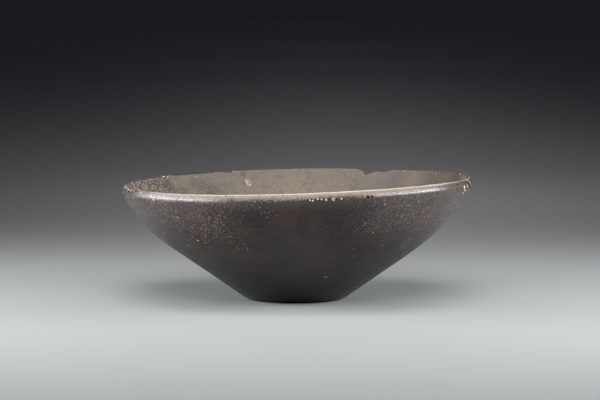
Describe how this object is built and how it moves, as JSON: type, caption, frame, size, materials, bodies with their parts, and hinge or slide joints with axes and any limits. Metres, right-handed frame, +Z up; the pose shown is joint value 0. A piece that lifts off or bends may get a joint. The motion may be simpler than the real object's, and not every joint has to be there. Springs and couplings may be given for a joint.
{
  "type": "shallow bowl",
  "caption": "Shallow hand-built clay bowl with a small flat foot, straight flaring wall and bevelled, chipped lip, for holding or serving food.",
  "frame": {"origin": "centre of the flat underside, on the surface that the bowl stands on", "axes": "+Z up through the mouth; +X towards the highest side of the rim, on the picture's right; -Y towards the viewer of the picture"},
  "size_m": [0.2201, 0.22, 0.0766],
  "materials": {
    "burnished_clay": "brown-black burnished clay with a low satin sheen outside, matt and dusty grey-tan inside, pale buff and orange paste in the chips"
  },
  "bodies": {
    "root": {"bowl": "burnished_clay"}
  },
  "joints": []
}
